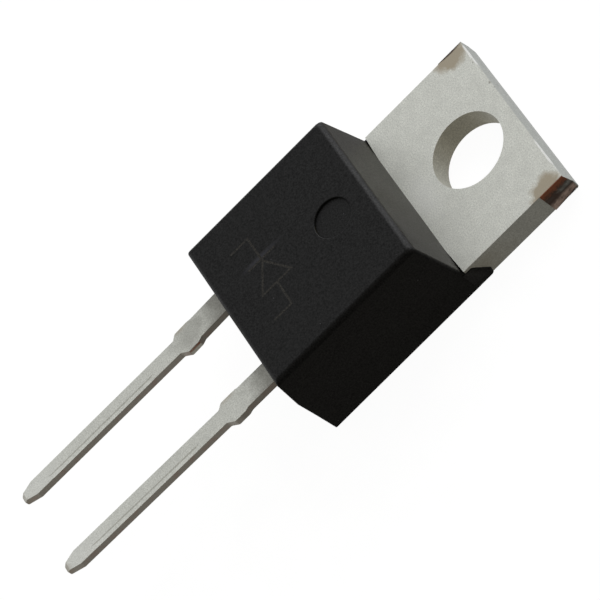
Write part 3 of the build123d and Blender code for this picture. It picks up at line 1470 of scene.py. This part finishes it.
@dataclass(frozen=True)
class ScrewTab:
    """The copper plate with its mounting hole, its die pad inside the moulding and the cathode lead."""

    package: Package
    lead: Lead
    stub_length: float = 1.5 * MM
    back_roll: float = 0.15 * MM
    end_lean: tuple[float, float] = (0.045 * MM, 0.11 * MM)
    corner_drop: float = 0.12 * MM
    hole_roll: float = 0.05 * MM
    edge: float = 0.03 * MM
    stub_roll: float = 0.05 * MM
    hole_sides: int = 128
    lip: float = 0.4 * MM
    lip_thickness: float = 0.6 * MM
    lip_setback: float = 0.7 * MM
    groove_width: float = 0.5 * MM
    groove_depth: float = 0.2 * MM
    ramp_flat: float = 1.2 * MM
    ramp_run: float = 1.3 * MM
    ramp_overlap: float = 0.35 * MM
    sink: float = 0.02 * MM

    def plate(self) -> Workpiece:
        """Builds the plate with the stubs of the frame bars and the rolled end.

        Returns:
            The plate.
        """
        pack = self.package
        start = pack.tab_end - self.stub_length
        piece = Workpiece.block(
            "plated_tab",
            (-pack.tab_half, pack.shoulder, 0),
            (pack.tab_half, pack.tab_end, pack.tab_thickness),
        )
        piece.slice((0, start, 0), (0, 1, 0))
        for side in Side:
            piece.slice((side.value * pack.pad_half, 0, 0), (1, 0, 0))
        piece.slide(
            lambda place, facing: abs(place.x) < pack.pad_half + NEAR and place.y < pack.shoulder + NEAR,
            (0, -pack.shoulder_gap, 0),
        )
        for side in Side:
            piece.extrude(
                lambda place, facing: facing.x * side.value > ALONG and place.y > start,
                (side.value * pack.stub_proud, 0, 0),
            )
        piece.slice((0, 0, pack.tab_thickness / 2), (0, 0, 1))
        for side in Side:
            piece.slide(
                lambda place, facing: place.z < NEAR
                and place.y > pack.tab_end - NEAR
                and place.x * side.value > pack.stub_half - NEAR,
                (-side.value * self.corner_drop, -self.corner_drop, 0),
            )
        for side, lean in zip(Side, self.end_lean):
            piece.slide(
                lambda place, facing: place.z > pack.tab_thickness - NEAR
                and place.y > pack.tab_end - NEAR
                and place.x * side.value > 0,
                (0, -lean, 0),
            )
        piece.round_edges(
            lambda place, run: abs(run.x) > ALONG and place.y > pack.tab_end - self.edge and place.z < NEAR,
            self.back_roll,
            segments=4,
        )
        return piece

    def pad(self) -> Workpiece:
        """Builds the die pad with its lips and its lock groove.

        Returns:
            The pad.
        """
        pack = self.package
        lip_bottom = pack.tab_thickness - self.lip_thickness
        lip_start = pack.body_end - self.lip_setback
        piece = Workpiece.block(
            "die_pad",
            (-pack.pad_half, pack.pad_end, 0),
            (pack.pad_half, pack.shoulder + self.edge, pack.tab_thickness),
        )
        piece.slice((0, 0, lip_bottom), (0, 0, 1))
        piece.slice((0, lip_start, 0), (0, 1, 0))
        for side in Side:
            piece.extrude(
                lambda place, facing: facing.x * side.value > ALONG
                and place.z > lip_bottom
                and place.y < lip_start,
                (side.value * self.lip, 0, 0),
            )
        for distance in (0.0, self.groove_width / 2, self.groove_width):
            piece.slice((0, pack.body_end - distance, 0), (0, 1, 0), lambda place, facing: facing.z > ALONG)
        bottom = pack.body_end - self.groove_width / 2
        piece.slide(
            lambda place, facing: abs(place.y - bottom) < NEAR and place.z > pack.tab_thickness - NEAR,
            (0, 0, -self.groove_depth),
        )
        return piece

    def ramp(self, strip: Workpiece) -> None:
        """Runs the root of the cathode lead on and down to the pad.

        Args:
            strip: The lead's mesh.
        """
        pack = self.package
        drop = pack.lead_front - pack.tab_thickness + self.sink
        foot = pack.pad_end + self.ramp_overlap - (pack.lead_end + self.ramp_flat + self.ramp_run)
        shifts = (
            (0, self.ramp_flat - self.lead.embed, 0),
            (0, self.ramp_run, -drop),
            (0, foot, 0),
        )
        reach = pack.lead_end + self.lead.embed
        for shift in shifts:
            strip.extrude(
                lambda place, facing: facing.y > PARTLY
                and place.y > reach - 2 * self.edge
                and abs(facing.x) < HARDLY,
                shift,
            )
            reach += shift[1]

    def cut_hole(self, piece: Workpiece) -> None:
        """Punches the mounting hole and rolls its back rim.

        Args:
            piece: The tab's mesh.
        """
        pack = self.package
        sink = self.lip
        punch = Workpiece.rod(
            "hole_punch", (0, 0, -sink), pack.hole_radius, pack.tab_thickness + 2 * sink, self.hole_sides
        )
        piece.combine(punch, Joinery.CUT)
        piece.round_edges(
            lambda place, run: place.z < NEAR and abs(place.xy.length - pack.hole_radius) < RIM_SLACK,
            self.hole_roll,
        )

    def shape(self, ears: list[Workpiece]) -> Workpiece:
        """Builds the tab with its pad and its lead.

        Args:
            ears: Wedges whose notches are cut from the plate. They are used up.

        Returns:
            The finished mesh.
        """
        pack = self.package
        piece = self.plate()
        piece.round_edges(
            lambda place, run: abs(run.y) > ALONG and place.z > pack.tab_thickness - NEAR
            and abs(place.x) > pack.stub_half - NEAR,
            self.stub_roll,
        )
        piece.round_edges(
            lambda place, run: abs(run.y) > ALONG and place.z > pack.tab_thickness - NEAR
            and pack.tab_half - NEAR < abs(place.x) < pack.tab_half + NEAR,
            self.edge,
            segments=2,
        )
        self.cut_hole(piece)
        piece.combine(self.pad(), Joinery.FUSE)
        for ear in ears:
            piece.combine(ear, Joinery.CUT)
        strip = self.lead.shape()
        self.ramp(strip)
        piece.combine(strip, Joinery.FUSE)
        return piece

    def edge_face(self, place: Vector, facing: Vector) -> bool:
        """Says whether a face belongs to the free end or to a side of the tab.

        Args:
            place: The face's middle.
            facing: The face's normal.

        Returns:
            True for such a face.
        """
        pack = self.package
        if abs(place.x) > pack.tab_half - self.edge and abs(facing.x) > MOSTLY:
            return True
        return facing.y > PARTLY and place.y > pack.tab_end - self.back_roll - self.corner_drop

    def hole_face(self, place: Vector, facing: Vector) -> bool:
        """Says whether a face belongs to the wall of the mounting hole."""
        return abs(facing.z) < ALONG and place.xy.length < self.package.hole_radius + self.hole_roll

    def right_stub_face(self, place: Vector, facing: Vector) -> bool:
        """Says whether a face belongs to the right frame bar's sheared end, with its rolled front edge."""
        return facing.x > BARELY and place.x > self.package.stub_half - self.stub_roll and place.y > 0

    def left_stub_face(self, place: Vector, facing: Vector) -> bool:
        """Says whether a face belongs to the left frame bar's sheared end, with its rolled front edge."""
        return facing.x < -BARELY and place.x < -self.package.stub_half + self.stub_roll and place.y > 0

    def dress(self, piece: Workpiece, finishes: FinishSet) -> None:
        """Gives the tab and its lead their finishes, and shades them.

        Args:
            piece: The tab's mesh.
            finishes: The part's materials.
        """
        piece.dress(
            finishes.tab_tin,
            (finishes.shaded_edge_tin, self.edge_face),
            (finishes.shaded_hole_tin, self.hole_face),
            (finishes.right_copper, self.right_stub_face),
            (finishes.left_copper, self.left_stub_face),
            (finishes.sheared_lead, self.lead.side_face),
            (finishes.lead_copper, self.lead.bare_face),
        )
        piece.shade(self.lead.crease)


# ---------------------------------------------------------------------------------------------------------
# Moulding
# ---------------------------------------------------------------------------------------------------------


@dataclass(frozen=True)
class Moulding:
    """The black epoxy moulding, with its draft, its round edges and the mark of the ejector pin."""

    package: Package
    overcut: float = 0.2 * MM
    tab_front_inset: float = 0.03 * MM
    side_draft: float = 0.17 * MM
    end_draft: float = 0.42 * MM
    lead_end_front_draft: float = 0.2 * MM
    lead_end_back_draft: float = 0.13 * MM
    edge_radius: float = 0.27 * MM
    tab_corner_radius: float = 0.17 * MM
    lead_corner_radius: float = 0.08 * MM
    edge_segments: int = 5
    mark_radius: float = 1.0 * MM
    mark_depth: float = 0.11 * MM
    mark_offset: float = 0.13 * MM
    mark_from_end: float = 2.54 * MM
    mark_rim: float = 0.05 * MM
    mark_sides: int = 96
    fill_sink: float = 0.12 * MM
    crease: float = 30

    def half_width(self, height: float) -> float:
        """Finds half the moulding's width.

        Args:
            height: The height above the back.

        Returns:
            The half width.
        """
        pack = self.package
        waist = pack.tab_half - self.tab_front_inset
        if height <= pack.tab_thickness:
            return pack.back_half + (waist - pack.back_half) * height / pack.tab_thickness
        share = (height - pack.tab_thickness) / (pack.front - pack.tab_thickness)
        return waist - self.side_draft * share

    def lead_end(self, height: float) -> float:
        """Finds the end that the leads come out of.

        Args:
            height: The height above the back.

        Returns:
            The end's Y.
        """
        pack = self.package
        parting = pack.lead_back
        if height <= parting:
            return pack.lead_end + self.lead_end_back_draft * (1 - height / parting)
        return pack.lead_end + self.lead_end_front_draft * (height - parting) / (pack.front - parting)

    def tab_end(self, height: float) -> float:
        """Finds the end over the tab.

        Args:
            height: The height above the back.

        Returns:
            The end's Y.
        """
        pack = self.package
        if height <= pack.tab_thickness:
            return pack.body_end
        share = (height - pack.tab_thickness) / (pack.front - pack.tab_thickness)
        return pack.body_end - self.end_draft * share

    def drafted_block(self) -> Workpiece:
        """Builds the block, cut at the tab's front and at the parting line, with its draft.

        Returns:
            The block.
        """
        pack = self.package
        piece = Workpiece.block(
            "epoxy_body", (-pack.back_half, pack.lead_end, 0), (pack.back_half, pack.body_end, pack.front)
        )
        levels = (0.0, pack.tab_thickness, pack.lead_back, pack.front)
        for level in levels[1:-1]:
            piece.slice((0, 0, level), (0, 0, 1))
        middle = (pack.lead_end + pack.body_end) / 2
        for level in levels:
            inset = pack.back_half - self.half_width(level)
            for side in Side:
                piece.slide(
                    lambda place, facing: abs(place.z - level) < NEAR and place.x * side.value > 0,
                    (-side.value * inset, 0, 0),
                )
            piece.slide(
                lambda place, facing: abs(place.z - level) < NEAR and place.y < middle,
                (0, self.lead_end(level) - pack.lead_end, 0),
            )
            piece.slide(
                lambda place, facing: abs(place.z - level) < NEAR and place.y > middle,
                (0, self.tab_end(level) - pack.body_end, 0),
            )
        return piece

    def is_corner(self, run: Vector) -> bool:
        """Says whether an edge stands upright or runs round a mitred corner."""
        return abs(run.z) > ALONG or (abs(run.x) > HARDLY and abs(run.y) > HARDLY)

    def round_block(self, piece: Workpiece) -> None:
        """Rounds the front edges, and then the corners that are left between the walls.

        Args:
            piece: The block.
        """
        pack = self.package
        middle = (pack.lead_end + pack.body_end) / 2
        piece.round_edges(
            lambda place, run: place.z > pack.front - NEAR, self.edge_radius, self.edge_segments
        )
        piece.round_edges(
            lambda place, run: place.y > middle and place.z > pack.tab_thickness and self.is_corner(run),
            self.tab_corner_radius,
        )
        piece.round_edges(
            lambda place, run: place.y < middle and self.is_corner(run), self.lead_corner_radius
        )

    def press_mark(self, piece: Workpiece) -> None:
        """Sinks the round mark of the ejector pin into the front.

        Args:
            piece: The moulding's mesh.
        """
        pack = self.package
        middle = Vector((self.mark_offset, pack.body_end - self.mark_from_end, 0))
        pin = Workpiece.rod(
            "ejector_pin",
            (middle.x, middle.y, pack.front - self.mark_depth),
            self.mark_radius,
            2 * self.mark_depth,
            self.mark_sides,
        )
        piece.combine(pin, Joinery.CUT)
        piece.round_edges(
            lambda place, run: abs(place.z - pack.front) < NEAR
            and abs((place - middle).xy.length - self.mark_radius) < RIM_SLACK,
            self.mark_rim,
        )

    def shape(self, ears: list[Workpiece], held: list[Workpiece]) -> Workpiece:
        """Builds the moulding.

        Args:
            ears: The wedges in the tab's notches, which become part of the moulding. They are used up.
            held: Copies of the pieces that the moulding holds, which leave their pockets. They are used up.

        Returns:
            The finished mesh.
        """
        pack = self.package
        piece = self.drafted_block()
        self.round_block(piece)
        fill_top = pack.tab_thickness - self.fill_sink
        piece.slice(
            (0, 0, fill_top),
            (0, 0, 1),
            lambda place, facing: facing.y > ALONG and place.z < pack.tab_thickness,
        )
        for side in Side:
            piece.slice(
                (side.value * pack.pad_half, 0, 0),
                (1, 0, 0),
                lambda place, facing: facing.y > ALONG and place.z < fill_top,
            )
            piece.extrude(
                lambda place, facing: facing.y > ALONG
                and place.z < fill_top
                and place.x * side.value > pack.pad_half,
                (0, pack.shoulder_gap, 0),
            )
        for ear in ears:
            piece.combine(ear, Joinery.FUSE)
        self.press_mark(piece)
        for pocket in held:
            piece.combine(pocket, Joinery.CUT)
        return piece

    def tab_tool(self, tab: Workpiece) -> Workpiece:
        """Copies the tab so that it reaches out of the back and cuts its pocket through.

        Args:
            tab: The tab.

        Returns:
            The copy.
        """
        tool = tab.copy("tab_pocket")
        tool.slide(lambda place, facing: place.z < NEAR, (0, 0, -self.overcut))
        return tool

    def end_wall_face(self, place: Vector, facing: Vector) -> bool:
        """Says whether a face belongs to the wall that rises from the tab."""
        return facing.y > ALONG and place.z > self.package.tab_thickness

    def dress(self, piece: Workpiece, finishes: FinishSet) -> None:
        """Gives the moulding its finishes, and shades it."""
        piece.dress(finishes.epoxy, (finishes.end_wall_painted_reflection, self.end_wall_face))
        piece.shade(self.crease)


@dataclass(frozen=True)
class DiodeSymbol:
    """A plain circuit symbol of a diode, laser marked on the front between the two leads."""

    package: Package
    middle_y: float = -9.9 * MM
    stroke: float = 0.11 * MM
    thickness: float = 0.004 * MM
    triangle_radius: float = 1.15 * MM
    bar_height: float = 1.7 * MM
    arm: float = 1.5 * MM
    leg: float = 1.1 * MM

    def line(self, x_low: float, y_low: float, x_high: float, y_high: float) -> Workpiece:
        """Returns one straight stroke that covers a rectangle of the front."""
        base = self.package.front - self.thickness / 2
        return Workpiece.block("stroke", (x_low, y_low, base), (x_high, y_high, base + self.thickness))

    def triangle(self) -> Workpiece:
        """Builds the arrow, a hollow triangle that points to the cathode.

        Returns:
            The arrow.
        """
        clear_bench()
        base = self.package.front - self.thickness / 2
        bpy.ops.mesh.primitive_circle_add(
            vertices=3, radius=self.triangle_radius, fill_type="NGON", location=(0, self.middle_y, base),
            rotation=(0, 0, math.radians(90)),
        )
        bpy.ops.object.transform_apply(location=True, rotation=True, scale=True)
        piece = Workpiece(bpy.context.active_object, "arrow")
        with piece.opened():
            bpy.ops.mesh.select_all(action="SELECT")
            bpy.ops.mesh.inset(thickness=self.stroke)
            bpy.ops.mesh.delete(type="FACE")
            bpy.ops.mesh.select_all(action="SELECT")
            bpy.ops.mesh.extrude_region_move(TRANSFORM_OT_translate={"value": (0, 0, self.thickness)})
            bpy.ops.mesh.select_all(action="SELECT")
            bpy.ops.mesh.normals_make_consistent(inside=False)
        return piece

    def shape(self) -> Workpiece:
        """Builds the symbol as one mesh.

        Returns:
            The finished mesh.
        """
        half = self.stroke / 2
        tip = -self.triangle_radius
        base = self.triangle_radius / 2
        y = self.middle_y
        piece = self.triangle()
        strokes = (
            (tip - half, y - self.bar_height / 2, tip + half, y + self.bar_height / 2),
            (tip - self.arm, y - half, tip - half / 2, y + half),
            (base - half, y - half, base + self.arm, y + half),
            (tip - self.arm - half, y - self.leg, tip - self.arm + half, y + half),
            (base + self.arm - half, y - self.leg, base + self.arm + half, y + half),
        )
        for stroke in strokes:
            piece.combine(self.line(*stroke), Joinery.FUSE)
        piece.body.name = "laser_mark"
        piece.body.data.name = "laser_mark"
        return piece

    def dress(self, piece: Workpiece, finishes: FinishSet) -> None:
        """Gives the symbol its finish."""
        piece.dress(finishes.laser_mark)


# ---------------------------------------------------------------------------------------------------------
# Sealed pieces
# ---------------------------------------------------------------------------------------------------------


@dataclass(frozen=True)
class SealedPieces:
    """The chip, its solder and the bond wires, which keep their CAD solids."""

    package: Package
    wires: tuple[str, ...] = ("bond_wire_inner", "bond_wire_middle", "bond_wire_outer")
    overlap: float = 0.02 * MM
    silicon: InnerFinish = InnerFinish(
        "silicon_finish", (0.035, 0.04, 0.055), (0.06, 0.065, 0.085), 0.4 * MM, 0.3, (0.15, 0.25)
    )
    solder: InnerFinish = InnerFinish(
        "solder_finish", (0.38, 0.38, 0.39), (0.52, 0.52, 0.53), 0.15 * MM, 1.0, (0.3, 0.5)
    )
    wire: InnerFinish = InnerFinish(
        "bond_wire_finish", (0.74, 0.74, 0.75), (0.86, 0.86, 0.87), 0.08 * MM, 1.0, (0.22, 0.34)
    )

    def dress(self) -> None:
        """Gives each sealed CAD node its finish."""
        wire = self.wire.make()
        finishes = {"diode_die": self.silicon.make(), "die_attach_solder": self.solder.make()}
        finishes.update({name: wire for name in self.wires})
        for name, finish in finishes.items():
            for slot in frame["nodes"][name].material_slots:
                slot.material = finish
            LOG.info("%s: dressed with %s", name, finish.name)

    def copies(self) -> list[Workpiece]:
        """Copies the sealed solids, each reaching a little into the pocket below it.

        Returns:
            The copies, with their doubles merged.
        """
        copies = []
        for name in (*self.wires, "diode_die", "die_attach_solder"):
            clear_bench()
            source = frame["nodes"][name]
            mesh = source.data.copy()
            twin = bpy.data.objects.new(f"{name}_pocket", mesh)
            bpy.context.scene.collection.objects.link(twin)
            piece = Workpiece(twin, f"{name}_pocket")
            with piece.opened():
                bpy.ops.mesh.select_all(action="SELECT")
                bpy.ops.mesh.remove_doubles(threshold=TOUCHING)
            for foot in (min(vertex.co.z for vertex in mesh.vertices), self.package.lead_front):
                piece.slide(lambda place, facing: abs(place.z - foot) < NEAR, (0, 0, -self.overlap))
            copies.append(piece)
        return copies


# ---------------------------------------------------------------------------------------------------------
# Studio
# ---------------------------------------------------------------------------------------------------------


@dataclass(frozen=True)
class Viewpoint:
    """A long-lens camera. Azimuth 0 looks along +Y, and roll turns the camera about its own axis."""

    azimuth: float = 105.804
    elevation: float = 45.991
    roll: float = -56.324
    distance: float = 239.65 * MM
    aim: Place = (-1.946 * MM, -10.713 * MM, 0.0195 * MM)
    lens: float = 314.9
    sensor: float = 36.0
    clip_start: float = 10 * MM

    def make(self) -> bpy.types.Object:
        """Sets up the scene's camera.

        Returns:
            The camera.
        """
        azimuth, elevation, roll = (math.radians(turn) for turn in (self.azimuth, self.elevation, self.roll))
        back = Vector((
            math.sin(azimuth) * math.cos(elevation),
            -math.cos(azimuth) * math.cos(elevation),
            math.sin(elevation),
        ))
        level = Vector((0, 0, 1)).cross(back).normalized()
        upright = back.cross(level)
        right = level * math.cos(roll) + upright * math.sin(roll)
        up = back.cross(right)
        lens = bpy.data.cameras.new("camera")
        lens.lens = self.lens
        lens.sensor_width = self.sensor
        lens.clip_start = self.clip_start
        camera = bpy.data.objects.new("camera", lens)
        bpy.context.scene.collection.objects.link(camera)
        camera.matrix_world = Matrix.Translation(Vector(self.aim) + back * self.distance) @ Matrix(
            (right, up, back)
        ).transposed().to_4x4()
        bpy.context.scene.camera = camera
        return camera


@dataclass(frozen=True)
class Studio:
    """A white floor under a soft surround that is bright on the left, with a broad glow behind the tab."""

    floor_size: float = 20.0
    left: Place = (-0.98, 0.15, -0.08)
    bright: float = 0.8
    dim: float = 0.12
    cool: Colour = (0.99, 1.0, 1.01)
    warm: Colour = (1.0, 0.95, 0.85)
    tint_blur: float = 0.3
    glow_from: Place = (-0.67, 0.61, 0.42)
    glow_edge: float = 0.86
    glow: float = 3.6

    def light_sky(self) -> None:
        """Makes the soft surround, whose brightness and colour depend on the direction alone."""
        world = bpy.data.worlds.new("studio")
        bpy.context.scene.world = world
        world.use_nodes = True
        nodes, links = world.node_tree.nodes, world.node_tree.links
        background = nodes["Background"]
        place = nodes.new("ShaderNodeTexCoord")

        def facing(direction: Place, low: float, high: float, start: float, end: float) -> Socket:
            """Makes a value that follows the direction of the view.

            Args:
                direction: The direction it grows towards.
                low: How far the view turns towards it at the start.
                high: How far the view turns towards it at the end.
                start: The value at the start.
                end: The value at the end.

            Returns:
                The value.
            """
            dot = nodes.new("ShaderNodeVectorMath")
            dot.operation = "DOT_PRODUCT"
            dot.inputs[1].default_value = Vector(direction).normalized()
            fall = nodes.new("ShaderNodeMapRange")
            fall.inputs["From Min"].default_value = low
            fall.inputs["From Max"].default_value = high
            fall.inputs["To Min"].default_value = start
            fall.inputs["To Max"].default_value = end
            links.new(place.outputs["Generated"], dot.inputs[0])
            links.new(dot.outputs["Value"], fall.inputs["Value"])
            return fall.outputs["Result"]

        both = nodes.new("ShaderNodeMath")
        tint = nodes.new("ShaderNodeValToRGB")
        tint.color_ramp.elements[0].color = (*self.warm, 1.0)
        tint.color_ramp.elements[1].color = (*self.cool, 1.0)
        links.new(facing(self.left, -1.0, 1.0, self.dim, self.bright), both.inputs[0])
        links.new(facing(self.glow_from, self.glow_edge, 1.0, 0.0, self.glow), both.inputs[1])
        links.new(both.outputs["Value"], background.inputs["Strength"])
        links.new(facing(self.left, -self.tint_blur, self.tint_blur, 0.0, 1.0), tint.inputs["Fac"])
        links.new(tint.outputs["Color"], background.inputs["Color"])

    def lay_floor(self) -> None:
        """Lays the floor, which the camera sees and which takes the shadow, but which lights nothing."""
        clear_bench()
        bpy.ops.mesh.primitive_plane_add(size=self.floor_size)
        floor = bpy.context.active_object
        floor.name = "studio_floor"
        floor.data.materials.append(StudioFloor().make())
        floor.visible_diffuse = False
        floor.visible_glossy = False
        floor.visible_shadow = False

    def make(self) -> None:
        """Sets up the surround, the floor and the camera."""
        bpy.context.scene.view_settings.view_transform = "Standard"
        self.light_sky()
        self.lay_floor()
        Viewpoint().make()
        LOG.info("studio: a soft surround and a %.0f m floor", self.floor_size)


# ---------------------------------------------------------------------------------------------------------
# Assembly
# ---------------------------------------------------------------------------------------------------------


def build_part() -> None:
    """Builds and dresses every piece of the part."""
    pack = Package.from_frame()
    cathode = Lead(
        "cathode_lead",
        pack,
        -pack.lead_pitch / 2,
        (-0.045 * MM, 0.05 * MM, -0.04 * MM),
        {Side.LEFT: 0.04 * MM, Side.RIGHT: 0.11 * MM},
        Side.RIGHT,
    )
    anode = Lead(
        "plated_anode_lead",
        pack,
        pack.lead_pitch / 2,
        (0.035 * MM, 0.02 * MM, -0.175 * MM),
        {Side.LEFT: 0.12 * MM, Side.RIGHT: 0.085 * MM},
        Side.LEFT,
        rolled=True,
        embed=0.9 * MM,
        post_joint=0.3 * MM,
    )
    tab = ScrewTab(pack, cathode)
    moulding = Moulding(pack)
    symbol = DiodeSymbol(pack)
    sealed = SealedPieces(pack)

    tab_piece = tab.shape([Ear(pack, side).shape() for side in Side])
    anode_piece = anode.shape()
    anode_piece.combine(BondPost(pack, anode).shape(), Joinery.FUSE)
    pockets = [*sealed.copies(), anode_piece.copy("anode_pocket"), moulding.tab_tool(tab_piece)]
    body_piece = moulding.shape([Ear(pack, side, play=0.004 * MM).shape() for side in Side], pockets)
    mark_piece = symbol.shape()

    finishes = FinishSet(pack)
    tab.dress(tab_piece, finishes)
    anode.dress(anode_piece, finishes)
    moulding.dress(body_piece, finishes)
    symbol.dress(mark_piece, finishes)

    tab_piece.hand_over("tinned_copper", "cathode_tab")
    anode_piece.hand_over("tinned_copper", "anode_lead")
    body_piece.hand_over("moulding_compound", "moulded_body")
    mark_piece.hand_over("moulding_compound")
    sealed.dress()


def main() -> None:
    """Builds the part and the studio."""
    logging.basicConfig(level=logging.INFO, format="%(name)s: %(message)s")
    build_part()
    Studio().make()


if __name__ == "__main__":
    main()
